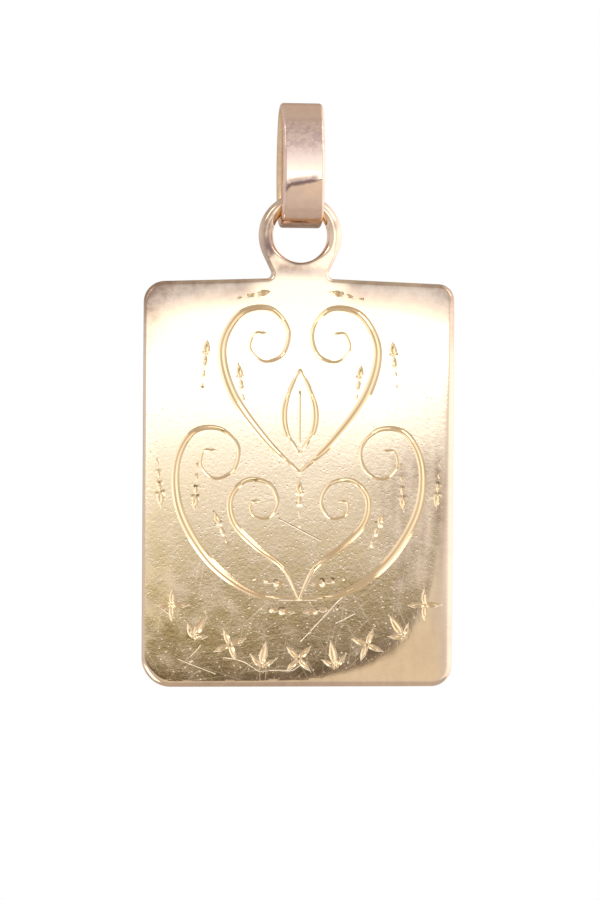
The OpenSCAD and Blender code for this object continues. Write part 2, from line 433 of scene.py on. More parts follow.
def flower():
    """Four petals that meet in the middle."""
    petal = SPRIG_H / 2
    return [drop_cut(towards(turn) * petal * PETAL_OUT, turn + 180, petal, PETAL_FATNESS)
            for turn in PETAL_TURNS]


def sprig():
    """A leaf that points down, between two smaller ones."""
    leaf, side_leaf = SPRIG_H * LEAF_SHARE, SPRIG_H * SIDE_LEAF_SHARE
    side = drop_cut((side_leaf / 2, -side_leaf / 2), SIDE_LEAF_TURN + 180, side_leaf, PETAL_FATNESS)
    return [drop_cut((0, leaf / 6), 270, leaf, PETAL_FATNESS)] + mirrored([side])


def garland():
    """Flowers and sprigs in turn, along an arc under the scrolls."""
    cuts = []
    for i, turn in enumerate(np.linspace(-GARLAND_REACH, GARLAND_REACH, GARLAND_COUNT)):
        for path, half, depth in (sprig() if i % 2 else flower()):
            cuts.append(((path + (0, -GARLAND_R)) @ turning(turn), half, depth))
    return cuts


def scratch_cuts():
    """The single scratches, which thin out at both ends."""
    cuts = []
    for points, width, depth in SCRATCHES:
        path = even(np.array(points, float), SCRATCH_STEP)
        taper = np.sqrt(np.sin(np.pi * np.linspace(SCRATCH_TAPER, 1 - SCRATCH_TAPER, len(path))))
        cuts.append((path, taper * width / 2, taper * depth))
    return cuts


def all_cuts():
    """Every engraved cut and every scratch, in the medal's plane, with a mark that tells them apart."""
    right = [swelling_cut(*scroll) for scroll in SCROLLS]
    right += [cut for row in DROP_ROWS for cut in drop_row(*row)]
    middle = [swelling_cut(LEAF_VEIN, HAIRLINE, peak=0.5)] + drop_row(*MIDDLE_ROW)
    engraved = mirrored(right) + middle + garland()
    lift = np.array([0, MIDDLE_Z])
    return ([(path + lift, half, depth, True) for path, half, depth in engraved]
            + [(path + lift, half, depth, False) for path, half, depth in scratch_cuts()])


CUTS = all_cuts()


def cut_rows(cut):
    """Rows of mesh points along a cut: its middle, its deepest lines, its lips and the metal beside them."""
    path, half = cut[:2]
    along = np.gradient(path, axis=0)
    side = unit(np.stack([-along[:, 1], along[:, 0]], 1))
    reaches = [half, half + SHOULDER]
    if 2 * half.max() > TWO_CUTS_FROM:
        reaches.insert(0, half / 2)
    return [path] + [path + side * sign * reach[:, None] for reach in reaches for sign in (-1, 1)]


def nearest_step(points, path, half):
    """The step of a path nearest to each point, how far along it the point lies, and how far to its left."""
    start, step = path[:-1], np.diff(path, axis=0)
    offset = points[:, None] - start
    share = np.clip((offset * step).sum(2) / (step**2).sum(1), 0, 1)
    away = np.linalg.norm(offset - share[..., None] * step, axis=2)
    best = np.argmin(away - half[:-1] * WIDE_NEARER, axis=1)
    rows = np.arange(len(points))
    side = np.sign(step[best, 0] * offset[rows, best, 1] - step[best, 1] * offset[rows, best, 0])
    return best, share[rows, best], side * away[rows, best]


def engrave(points):
    """How deep the cuts and scratches are at each point, and 1 inside an engraved cut."""
    depth = np.zeros(len(points))
    inside = np.zeros(len(points))
    for path, half, deepest, engraved in CUTS:
        reach = half.max() + SHOULDER
        near = np.flatnonzero(((points > path.min(0) - reach) & (points < path.max(0) + reach)).all(1))
        best, share, away = nearest_step(points[near], path, half)
        width = half[best] + (half[best + 1] - half[best]) * share
        deep = deepest[best] + (deepest[best + 1] - deepest[best]) * share
        across = np.clip(away / np.maximum(width, LEAST_W), -CUT_SIDE, CUT_SIDE)
        single = np.clip(1 - np.abs(across), 0, 1)
        double = np.interp(across, *TWO_CUTS)
        profile = single + (double - single) * smooth(TWO_CUTS_FROM, TWO_CUTS_FULL, 2 * width)
        depth[near] = np.maximum(depth[near], deep * profile)
        if engraved:
            inside[near] = np.maximum(inside[near], smooth(*CUT_EDGE, np.abs(across)))
    return depth, inside


# The worn surface: soft dents and waves that the reflections show

# Slow waves of the front: height, size and seed
FRONT_WAVES = [(0.004, 5.5, 3.1), (0.0007, 1.7, 8.4)]

# Dents: x and z from the plate's middle, half width along x and z, turn in degrees, depth
DENTS = [
    (-9.2, 12.6, 1.6, 1.2, 0, 0.03),
    (9.3, 12.4, 1.2, 1, 0, 0.03),
    (-7.5, 12.3, 1.1, 0.5, 10, 0.012),
    (6.9, -3.6, 0.35, 4, 0, 0.004),
    (8, -2.8, 0.3, 3.2, 3, 0.003),
]

# The right side and the lower right corner are worn down, past a curve that hugs both edges
CORNER_REACH = 5
CORNER_RIGHT_SHARE = 0.95
CORNER_BASE_SHARE = 0.955
CORNER_RAGGED = 0.009
CORNER_FROM = 1.015
CORNER_FALL = 0.37
CORNER_SOFTNESS = 0.04
CORNER_FADE = (-6.5, -0.5)

# A narrow strip along the right edge is worn down more, and fades out towards its top
STRIP = 0.22
STRIP_REACH = 0.65
STRIP_FADE = (10.5, 4)

# The top edge is worn down on both sides of the neck, further in towards its ends
TOP_SLOPE = 0.16
TOP_REACH = 1.5
TOP_REACH_MORE = 1.1
NECK_CLEAR = (2, 3.8)

# The sides fall off gently, the eye is uneven, and the back has a share of the front's waves and dents
SIDE_FALL = 0.02
SIDE_REACH = 1.2
EYE_UNEVEN = 0.006
BACK_UNEVEN_SHARE = 0.3

# How dull each part is, and what share of that is on the rims
PLATE_WEAR = 0.4
EYE_WEAR = 0.5
BACK_WEAR = 0.5
RIM_WEAR_SHARE = 0.9

# Where the front is dull: x and z from the plate's middle, half widths, amount
DULL_SPOTS = [
    (-9.3, 12.5, 1.5, 1.1, 0.7),
    (9.1, 12.6, 1.1, 0.9, 0.5),
    (7.4, -3.2, 1.7, 4.5, 0.25),
    (-5, -7.5, 6, 3.5, 0.1),
    (0, 8.5, 16, 6.3, -0.36),
    (-8, 1, 3.5, 3, -0.18),
    (-9.3, -6.5, 1.8, 4, 0.14),
]

# The front is duller along its top and side edges, and polished where the corner is worn down
EDGE_WEAR = 0.1
TOP_WEAR_FADE = (1.7, 0.2)
SIDE_WEAR_FADE = (0.7, 0.1)
WEAR_UNEVEN = 0.5
CORNER_POLISH = 0.7
CORNER_POLISH_FADE = (CORNER_FROM - 0.05, CORNER_FROM + 0.05)

# Where the front is darkened: x and z from the plate's middle, half widths, amount. The spots at the top
# corners and down the upper sides are painted shade along the rounded rim; the rest are tarnish
TARNISH_AND_SHADE_SPOTS = [
    (-9.9, 12, 1.3, 1.9, 0.66),
    (9.8, 12.2, 1.5, 1.2, 0.35),
    (10.1, 10.4, 0.45, 1.8, 0.6),
    (9, -1.6, 0.42, 3.4, 0.6),
    (7, -0.4, 2.4, 3.2, 0.38),
    (7.8, 0.5, 1, 1.3, 0.22),
    (7.2, -5, 1.4, 2.4, 0.36),
    (-3, -12.8, 7, 0.9, 0.35),
    (7.8, -10.3, 3, 2.6, 0.13),
    (-9.7, 10.4, 0.6, 1.9, 0.3),
]

# The same for the eye and the neck, from the eye's centre. The spots on the eye's left side and at its top,
# where the bail sits, are painted shade; the rest are tarnish
TARNISH_AND_SHADE_EYE_SPOTS = [
    (-2.05, 0, 0.45, 1.5, 1.05),
    (-2, -0.7, 0.14, 1, 0.6),
    (2.2, 0.65, 0.2, 0.35, 0.6),
    (-0.7, -2.15, 1.1, 0.5, 0.9),
    (0, 2.4, 1.6, 0.7, 0.5),
    (0.2, -2.5, 1.8, 0.6, 0.24),
]

# The top edge is darkened too, with painted shade along its rounded rim, more at its left, and there are
# upright streaks at the upper right
TOP_SHADE = 0.48
TOP_SHADE_FADE = (2, 0.2)
TOP_SHADE_LEAN = 0.4
TARNISH_AND_SHADE_UNEVEN = 0.4
STREAKS = 0.9
STREAKED_RIGHT = (2, 6)
STREAKED_BELOW = (9, 4)

# The back is tarnished in patches, between these heights of its noise
BACK_TARNISH = 0.25
BACK_PATCHES = (-0.5, 1)

# Where the front is rubbed down to yellower gold: x and z from the plate's middle, half widths, amount
RUBBED_SPOTS = [
    (-9.2, -6.5, 1.8, 4.5, 0.6),
    (-5.5, -9.5, 4.5, 3, 0.45),
    (-8, 0, 3, 2.5, 0.3),
]
RUBBED_UNEVEN = 0.8

# Painted shade, a dark line down the eye's lower left: x and z from the eye's centre, half widths, amount
SHADED_EYE_SPOTS = [
    (-2.16, -0.35, 0.15, 0.35, 0.7),
    (-2.02, -0.78, 0.17, 0.28, 1.15),
    (-1.84, -1.08, 0.16, 0.22, 0.95),
]

# Noise over the medal: its size, or its sizes along x and z, and its seed
CORNER_NOISE = ((0.6, 2.2), 9.3)
EYE_NOISE = (0.9, 6.6)
WEAR_NOISE = (1.1, 5.2)
TARNISH_AND_SHADE_NOISE = (0.6, 4.4)
STREAK_NOISE = ((0.3, 2.6), 2.7)
RUBBED_NOISE = (0.9, 1.9)
BACK_NOISE = (2.2, 7.9)


def wave(points, size, seed):
    """Smooth noise, one value for each point."""
    return np.array([noise.noise((x, z, seed)) for x, z in points / size])


def near_corner(local):
    """How close a point is to the right and lower edges: about 1 at either, 2 where they meet."""
    right = HALF_W - local[:, 0]
    base = local[:, 1] + MIDDLE_Z - BASE_Z
    return (CORNER_RIGHT_SHARE * np.exp(-right / CORNER_REACH)
            + CORNER_BASE_SHARE * np.exp(-base / CORNER_REACH)
            + STRIP * np.exp(-right / STRIP_REACH) * smooth(*STRIP_FADE, local[:, 1])
            + CORNER_RAGGED * wave(local, *CORNER_NOISE))


def below_top(points):
    """Distance down from the plate's top edge."""
    return RIDGE_Z - ROOF_FALL * np.abs(points[:, 0]) / HALF_W - points[:, 1]


def spots(places, given):
    """The sum of soft spots at each place."""
    total = np.zeros(len(places))
    for x, z, along, across, amount in given:
        total += amount * np.exp(-(((places - (x, z)) / (along, across)) ** 2).sum(1))
    return total


def soft_corner(value, softness):
    """0 below 0 and the value itself above, with a soft corner between."""
    return np.logaddexp(0, value / softness) * softness


def worn_surface(points):
    """How far the front lies behind a true plane at each point."""
    local = points - (0, MIDDLE_Z)
    fall = sum(height * wave(points, size, seed) for height, size, seed in FRONT_WAVES)
    for x, z, along, across, turn, depth in DENTS:
        away = (local - (x, z)) @ turning(-turn) / (along, across)
        fall += depth * np.exp(-(away**2).sum(1))
    corner = soft_corner(near_corner(local) - CORNER_FROM, CORNER_SOFTNESS)
    corner *= smooth(*CORNER_FADE, local[:, 0])
    fall += CORNER_FALL * corner / (1 + corner / 2)
    side = np.clip((HALF_W - np.abs(local[:, 0])) / SIDE_REACH, 0, 1)
    fall += SIDE_FALL * (1 - side) ** 2
    reach = TOP_REACH + TOP_REACH_MORE * (local[:, 0] / HALF_W) ** 2
    top = np.clip(1 - below_top(points) / reach, 0, 1) * smooth(*NECK_CLEAR, np.abs(points[:, 0]))
    fall += TOP_SLOPE * reach / 2 * top**2
    eye = eye_share(points)
    return fall * (1 - eye) + EYE_UNEVEN * wave(points, *EYE_NOISE) * eye


def wear(points):
    """0 where the front is polished, 1 where it is dull and pitted."""
    local = points - (0, MIDDLE_Z)
    amount = PLATE_WEAR + spots(local, DULL_SPOTS)
    amount += EDGE_WEAR * smooth(*TOP_WEAR_FADE, below_top(points))
    amount += EDGE_WEAR * smooth(*SIDE_WEAR_FADE, HALF_W - np.abs(points[:, 0]))
    amount *= 1 + WEAR_UNEVEN * wave(points, *WEAR_NOISE)
    amount *= 1 - CORNER_POLISH * smooth(*CORNER_POLISH_FADE, near_corner(local))
    amount += (EYE_WEAR - amount) * eye_share(points)
    return np.clip(amount, 0, 1)


def tarnish_and_shade(points):
    """0 where the front is clean, 1 where tarnish and painted shade darken it, in patches and upright
    streaks.
    """
    # Painted shade along the top edge's rounded rim
    top = smooth(*TOP_SHADE_FADE, below_top(points)) * smooth(*NECK_CLEAR, np.abs(points[:, 0]))
    top *= 1 - TOP_SHADE_LEAN * points[:, 0] / HALF_W
    amount = spots(points - (0, MIDDLE_Z), TARNISH_AND_SHADE_SPOTS) + TOP_SHADE * top
    amount += (spots(points, TARNISH_AND_SHADE_EYE_SPOTS) - amount) * eye_share(points)
    streaks = wave(points, *STREAK_NOISE) * smooth(*STREAKED_RIGHT, points[:, 0])
    streaks *= smooth(*STREAKED_BELOW, points[:, 1] - MIDDLE_Z)
    return np.clip(amount * (1 + TARNISH_AND_SHADE_UNEVEN * wave(points, *TARNISH_AND_SHADE_NOISE) + STREAKS * streaks), 0, 1)


def rubbed(points):
    """0 where the front has the gold's own colour, 1 where it is rubbed yellower."""
    amount = spots(points - (0, MIDDLE_Z), RUBBED_SPOTS) * (1 - eye_share(points))
    return np.clip(amount * (1 + RUBBED_UNEVEN * wave(points, *RUBBED_NOISE)), 0, 1)


def dirt_and_shade(points):
    """0 where the front is clean, 1 where painted shade darkens the eye's lower left."""
    return np.clip(spots(points, SHADED_EYE_SPOTS), 0, 1)


def front_marks(points):
    """Every mark of the front."""
    return {"cut": rubbed(points), "wear": wear(points), "tarnish_and_shade": tarnish_and_shade(points), "dirt_and_shade": dirt_and_shade(points)}


def back_marks(points):
    """The back is evenly dull, with patches of tarnish."""
    patches = smooth(*BACK_PATCHES, wave(points, *BACK_NOISE))
    blank = np.zeros(len(points))
    return {"cut": blank, "wear": blank + BACK_WEAR, "tarnish_and_shade": BACK_TARNISH * patches, "dirt_and_shade": blank}


# The medal's mesh, with four marks at each point that its gold reads

MARKS = ("cut", "wear", "tarnish_and_shade", "dirt_and_shade")


def rim_radius(outline, front):
    """Radius of the rounded rim at each point of an outline: every side of the plate is worn differently."""
    eye = NECK_ROUND + (EYE_ROUND - NECK_ROUND) * smooth(*EYE_ROUND_FADE, outline[:, 1])
    if not front:
        return BACK_ROUND + (eye - BACK_ROUND) * eye_share(outline)
    radius = LEFT_ROUND + (RIGHT_ROUND - LEFT_ROUND) * smooth(*RIGHT_ROUND_FADE, outline[:, 0])
    radius += (TOP_ROUND - radius) * smooth(*TOP_ROUND_FADE, outline[:, 1])
    radius += (BASE_ROUND - radius) * smooth(*BASE_ROUND_FADE, outline[:, 1])
    radius += spots(outline, WORN_CORNER)
    return radius + (eye - radius) * eye_share(outline)


def rim(outline, front):
    """Rings of a rounded rim from the outline inwards, as (points, fall from the flat face)."""
    normal = inward(outline)
    radius = rim_radius(outline, front)
    rings = []
    for turn in np.linspace(0, math.pi / 2, RIM_STEPS + 1):
        points = outline + normal * (radius * (1 - math.cos(turn)))[:, None]
        rings.append((points, radius * (1 - math.sin(turn))))
    return rings


def loop_edges(start, count):
    """Edges between points in turn, and from the last to the first."""
    return [(start + i, start + (i + 1) % count) for i in range(count)]


def enclosed(points, loops):
    """Which points lie inside the outer loop and outside the hole."""
    odd = np.zeros(len(points), bool)
    for loop in loops:
        for (x1, z1), (x2, z2) in zip(loop, np.roll(loop, -1, 0)):
            if z1 == z2:
                continue
            crosses = (z1 > points[:, 1]) != (z2 > points[:, 1])
            odd ^= crosses & (points[:, 0] < (x2 - x1) * (points[:, 1] - z1) / (z2 - z1) + x1)
    return odd


def nearest(points, others):
    """Distance from each point to the nearest of the others."""
    best = np.full(len(points), np.inf)
    for block in np.array_split(others, max(1, len(others) // POINTS_AT_ONCE)):
        away = ((points[:, None] - block[None]) ** 2).sum(2)
        best = np.minimum(best, away.min(1))
    return np.sqrt(best)


def grid(spacing):
    """Points in even staggered rows over the whole medal."""
    rows = np.arange(BASE_Z, EYE_R, spacing * math.sqrt(3) / 2)
    columns = np.arange(-HALF_W, HALF_W, spacing)
    return np.array([(x + spacing / 2 * (i % 2), z) for i, z in enumerate(rows) for x in columns])


def fill_face(loops, spacing, paths):
    """Triangles over the face inside the loops, with every path kept as edges.

    Returns the points, the triangles, and the number that each point had among the given ones, or -1.
    """
    given = list(loops)
    edges = []
    start = 0
    for loop in loops:
        edges += loop_edges(start, len(loop))
        start += len(loop)
    for path in paths:
        edges += [(start + i, start + i + 1) for i in range(len(path) - 1)]
        given.append(path)
        start += len(path)
    fixed = np.concatenate(given)
    free = grid(spacing)
    free = free[enclosed(free, loops)]
    free = free[nearest(free, fixed) > spacing * GRID_CLEARANCE]
    verts = [Vector(p) for p in np.concatenate([fixed, free])]
    result = delaunay_2d_cdt(verts, edges, [], 0, SAME_POINT)
    points = np.array([tuple(v) for v in result[0]])
    triangles = np.array(result[2])
    middles = points[triangles].mean(1)
    triangles = triangles[enclosed(middles, loops)]
    origins = [min(o) if o else -1 for o in result[3]]
    return points, triangles, np.array(origins)


class Skin:
    """Collects the vertices, marks and faces of one closed mesh."""

    def __init__(self):
        self.verts, self.faces, self.count = [], [], 0
        self.marks = {name: [] for name in MARKS}

    def add(self, points, depth, marks):
        """Adds vertices from their place in the medal's plane and their y, and returns their numbers."""
        self.verts.append(np.stack([points[:, 0], depth, points[:, 1]], 1))
        for name in MARKS:
            self.marks[name].append(marks[name])
        self.count += len(points)
        return np.arange(self.count - len(points), self.count)

    def strip(self, first, second):
        """A closed strip of quads between two rings."""
        for a, b, c, d in zip(first, np.roll(first, -1), np.roll(second, -1), second):
            self.faces.append((a, b, c, d))


def add_side(skin, outlines, front):
    """One face of the medal with its rounded rims. Returns the outermost rings' numbers."""
    marks = front_marks if front else back_marks

    def depth(points, fall):
        """The y of each point, from how far it lies behind the worn face."""
        half = HALF_T + (EYE_HALF_T - HALF_T) * eye_share(points)
        worn = worn_surface(points) if front else BACK_UNEVEN_SHARE * worn_surface(points * (-1, 1))
        return (-1 if front else 1) * (half - (worn + fall))

    all_rings = [rim(outline, front) for outline in outlines]
    numbers = []
    for rings in all_rings:
        made = []
        for points, fall in rings[:-1]:
            rim_marks = marks(points)
            rim_marks["wear"] = rim_marks["wear"] * RIM_WEAR_SHARE
            made.append(skin.add(points, depth(points, fall), rim_marks))
        numbers.append(made)

    loops = [rings[-1][0] for rings in all_rings]
    paths = [row for cut in CUTS for row in cut_rows(cut)] if front else []
    points, triangles, origins = fill_face(loops, FRONT_GRID if front else BACK_GRID, paths)
    engraved, inside = engrave(points) if front else (0, 0)
    face_marks = marks(points)
    face_marks["cut"] = np.maximum(face_marks["cut"], inside)
    face = skin.add(points, depth(points, engraved), face_marks)

    # The innermost ring of each rim is a loop of the face, whose points have new numbers there
    order = np.full(origins.max() + 1, -1)
    order[origins[origins >= 0]] = np.flatnonzero(origins >= 0)
    start = 0
    for loop, made in zip(loops, numbers):
        made.append(face[order[start:start + len(loop)]])
        start += len(loop)
        for outer, inner in zip(made, made[1:]):
            first, second = (outer, inner) if front else (inner, outer)
            skin.strip(first, second)
    turned = triangles if front else triangles[:, ::-1]
    skin.faces += [tuple(face[t]) for t in turned]
    return [made[0] for made in numbers]


def build_mesh(name, verts, faces):
    """An object with a smooth mesh."""
    mesh = bpy.data.meshes.new(name)
    mesh.from_pydata([tuple(v) for v in verts], [], [tuple(int(i) for i in f) for f in faces])
    mesh.validate()
    mesh.polygons.foreach_set("use_smooth", [True] * len(mesh.polygons))
    mesh.update()
    return put(name, mesh)


def medal():
    """Plate, neck and eye as one closed mesh, with the engraving cut into its front."""
    outlines = [medal_outline(), hole_outline()]
    skin = Skin()
    front = add_side(skin, outlines, True)
    back = add_side(skin, outlines, False)
    for ahead, behind in zip(front, back):
        skin.strip(behind, ahead)
    verts = (np.concatenate(skin.verts) + (0, 0, EYE_Z)) * MM
    made = build_mesh("engraved_medal", verts, skin.faces)
    for name, values in skin.marks.items():
        made.data.attributes.new(name, "FLOAT", "POINT").data.foreach_set("value", np.concatenate(values))
    made.data.set_sharp_from_angle(angle=math.radians(SHARP_ANGLE))
    return made


# The bail: a band swept along a four-arc oval

# The frame's box is made of facets and falls a little short of the oval's depth, so that is given here
BAIL_H = BAIL_HIGH[2] - BAIL_LOW[2]
BAIL_DEPTH = 4.6
BAND_W = 2 * BAIL_HIGH[0]
BAND_T = 0.75
TOP_R = 1.75
BOTTOM_R = 2.1
INNER_EDGE_R = 0.3
OUTER_EDGE_R = 0.2
PATH_STEP = 0.05
ARC_STEP = 0.01
EDGE_POINTS = 6
SECTION_POINTS = 96

# The radius of the oval's long sides is at most this many half depths, and is found by halving so often
FLATTEST = 50
HALVINGS = 50

# Shares of the band's thickness, towards its inside, between which it comes to be marked as within
WITHIN_FADE = (0.45, -0.3)

# The solder seam, a low bead: its height at the band's middle, its rise to the right, its hook at the left
SEAM_Z = -4.46
SEAM_RISE = 0.15
SEAM_HOOK = 0.3
SEAM_HALF_W = 0.19
SEAM_BEAD = 0.008
SEAM_WANDER = 1.3

# Along the seam, in shares of the band's width: how it thins, where it hooks, and where it ends at each side
SEAM_THINNING = -0.9
HOOK_FADE = (-0.3, -0.46)
SEAM_LEFT_END = (-0.47, -0.4)
SEAM_RIGHT_END = (0.4, 0.22)

# The stain above the seam, and the factor and offset that turn noise into its patches
STAIN_RISE = 0.12
STAIN_HALF_W = 0.26
STAIN_PATCHES = (2.0, 0.55)

# The band is flat above its seam: the radius that this takes away, the flat's top, the slope back below it,
# and the y that all of it lies before
FLAT_R = 7.6
FLAT_TOP = -3.82
FLAT_SOFTNESS = 0.02
BACK_SLOPE = 0.05
FRONT_Y = -1.9

# The front of the band is mottled between two heights, and fades in and out over these lengths
MOTTLE_LOW = -2.7
MOTTLE_HIGH = -0.35
MOTTLE_BELOW = 0.45
MOTTLE_ABOVE = 0.75
MOTTLE_TOP_FADE = 0.25

# How dull the band is: what its mottled part adds to the rest, the rest itself, and its inside
BAND_WEAR = (0.62, 0.2)
INSIDE_WEAR = 0.9

# The band's foot is darkened with painted shade between two heights, low where it runs through the eye; its
# inside is darkened too, and painted yellower as a reflection of the gold across from it
FOOT_TOP = -6.4
FOOT_LOW = -7.2
FOOT_SHADE = 0.75
INSIDE_DARKENING = 0.35
INSIDE_PAINTED_REFLECTION = 0.65

# The height of the band's dents, and noise on the band: waves in a millimetre, and finer layers of them
BAND_UNEVEN = 0.006
BAND_NOISE = (0.7, 2.0)
SEAM_NOISE = (3.2, 3.0)
STAIN_NOISE = (1.5, 3.0)


def oval_path():
    """The middle line of the bail's band, as y and z: up its back, over its top, down its front and on."""
    half = BAIL_DEPTH / 2
    top, bottom = BAIL_H - TOP_R, BOTTOM_R

    def gap(side, end):
        """Height between the centres of a long side and of an end that it runs into smoothly."""
        return math.sqrt((half - end) * (2 * side - end - half))

    low, high = half, FLATTEST * half
    for _ in range(HALVINGS):
        side = (low + high) / 2
        if gap(side, TOP_R) + gap(side, BOTTOM_R) < top - bottom:
            low = side
        else:
            high = side
    middle_z = bottom + gap(side, BOTTOM_R)
    middle_y = half - side
    up = math.degrees(math.atan2(top - middle_z, -middle_y))
    down = math.degrees(math.atan2(middle_z - bottom, -middle_y))
    inset = BAND_T / 2
    pieces = [
        arc((middle_y, middle_z), side - inset, -down, up, ARC_STEP),
        arc((0, top), TOP_R - inset, up, 180 - up, ARC_STEP),
        arc((-middle_y, middle_z), side - inset, 180 - up, 180 + down, ARC_STEP),
        arc((0, bottom), BOTTOM_R - inset, 180 + down, 360 - down, ARC_STEP),
    ]
    closed = np.concatenate(pieces + [pieces[0][:1]])
    return even(closed, PATH_STEP)[:-1] + (0, BAIL_LOW[2])


def rounded_off(tree, away):
    """1 at 0 and 0 at 1 and beyond, falling as a parabola."""
    return greater(tree, difference(tree, 1.0, calculate(tree, "MULTIPLY", away, away)), 0.0)


def centred_noise(tree, place, waves_per_mm, layers):
    """Noise about zero, from -0.5 to 0.5."""
    made = node(tree, "ShaderNodeTexNoise", {"Vector": place, "Scale": waves_per_mm / MM, "Detail": layers})
    return difference(tree, made.outputs[0], 0.5)


def stored(tree, geometry, name, value):
    """The geometry with a float stored at each of its points."""
    return node(tree, "GeometryNodeStoreNamedAttribute", {"Geometry": geometry, "Name": name, "Value": value},
                data_type="FLOAT", domain="POINT").outputs[0]


def band_values(material):
    """The inputs of the band's tree: lengths in metres, then slopes and the material."""
    lengths = {"Band width": BAND_W, "Band thickness": BAND_T, "Inner edge radius": INNER_EDGE_R,
               "Outer edge radius": OUTER_EDGE_R, "Seam height": SEAM_Z, "Seam half width": SEAM_HALF_W,
               "Seam hook": SEAM_HOOK, "Seam bead": SEAM_BEAD, "Unevenness": BAND_UNEVEN,
               "Mottle low": MOTTLE_LOW, "Mottle high": MOTTLE_HIGH, "Foot top": FOOT_TOP,
               "Foot low": FOOT_LOW, "Flat radius": FLAT_R, "Flat top": FLAT_TOP,
               "Stain rise": STAIN_RISE, "Stain half width": STAIN_HALF_W}
    values = {name: length * MM for name, length in lengths.items()}
    return values | {"Seam rise": SEAM_RISE, "Back slope": BACK_SLOPE, "Material": material}


def band_section(tree, given, at):
    """The band's section as a curve, marked towards its lower side, which becomes the bail's inside."""
    section = node(tree, "GeometryNodeCurvePrimitiveQuadrilateral",
                   {"Width": given["Band width"], "Height": given["Band thickness"]})
    is_outer = node(tree, "FunctionNodeCompare", {0: at["Y"], 1: 0.0}, operation="GREATER_THAN")
    edge = node(tree, "GeometryNodeSwitch",
                {"Switch": is_outer.outputs[0], "False": given["Inner edge radius"],
                 "True": given["Outer edge radius"]}, input_type="FLOAT")
    rounded = node(tree, "GeometryNodeFilletCurve",
                   {"Curve": section.outputs[0], "Radius": edge.outputs[0], "Count": EDGE_POINTS},
                   mode="POLY")
    fine = node(tree, "GeometryNodeResampleCurve", {"Curve": rounded.outputs[0], "Count": SECTION_POINTS})
    within = ramp(tree, calculate(tree, "DIVIDE", at["Y"], given["Band thickness"]), *WITHIN_FADE)
    return stored(tree, fine.outputs[0], "within", within)


def seam_and_stain(tree, given, at, place, seam_z, front):
    """1 on the seam, which drops at its left end and thins to the right, and in the patchy stain above it."""
    share = calculate(tree, "DIVIDE", at["X"], given["Band width"])
    hook = product(tree, ramp(tree, share, *HOOK_FADE), given["Seam hook"])
    wander = product(tree, centred_noise(tree, place, *SEAM_NOISE), given["Seam half width"], SEAM_WANDER)
    middle = calculate(tree, "ADD", difference(tree, seam_z, hook), wander)
    half = product(tree, given["Seam half width"], scaled(tree, share, SEAM_THINNING, 1.0))
    bead = rounded_off(tree, calculate(tree, "DIVIDE", difference(tree, at["Z"], middle), half))
    above = difference(tree, at["Z"], calculate(tree, "ADD", seam_z, given["Stain rise"]))
    stain = rounded_off(tree, calculate(tree, "DIVIDE", above, given["Stain half width"]))
    patches = scaled(tree, centred_noise(tree, place, *STAIN_NOISE), *STAIN_PATCHES)
    ends = product(tree, ramp(tree, share, *SEAM_LEFT_END), ramp(tree, share, *SEAM_RIGHT_END), front)
    return product(tree, greater(tree, bead, product(tree, stain, patches)), ends)


def band_wear(tree, given, at, inside):
    """Dull and mottled high on the front, dull inside, smooth elsewhere."""
    low, high = given["Mottle low"], given["Mottle high"]
    from_below = ramp(tree, at["Z"], difference(tree, low, MOTTLE_BELOW * MM),
                      calculate(tree, "ADD", low, MOTTLE_ABOVE * MM))
    from_above = ramp(tree, at["Z"], high, difference(tree, high, MOTTLE_TOP_FADE * MM))
    mottled = product(tree, from_below, from_above, calculate(tree, "LESS_THAN", at["Y"], 0.0))
    return greater(tree, scaled(tree, mottled, *BAND_WEAR), product(tree, inside, INSIDE_WEAR))


def band_relief(tree, given, at, place, seam_z, front, seam):
    """How far the surface stands out, for the flat above the seam, the slope below it, the seam and dents."""
    below = greater(tree, difference(tree, given["Flat top"], at["Z"]), 0.0)
    down = calculate(tree, "MINIMUM", below, difference(tree, given["Flat top"], seam_z))
    flat = calculate(tree, "DIVIDE", product(tree, down, down, 0.5), given["Flat radius"])
    past = greater(tree, difference(tree, seam_z, at["Z"]), 0.0)
    bulge = difference(tree, flat, product(tree, past, given["Back slope"]))
    bulge = product(tree, calculate(tree, "SMOOTH_MAX", bulge, 0.0, FLAT_SOFTNESS * MM), front)
    dents = product(tree, calculate(tree, "ABSOLUTE", centred_noise(tree, place, *BAND_NOISE)),
                    given["Unevenness"])
    return calculate(tree, "ADD", difference(tree, bulge, dents), product(tree, seam, given["Seam bead"]))


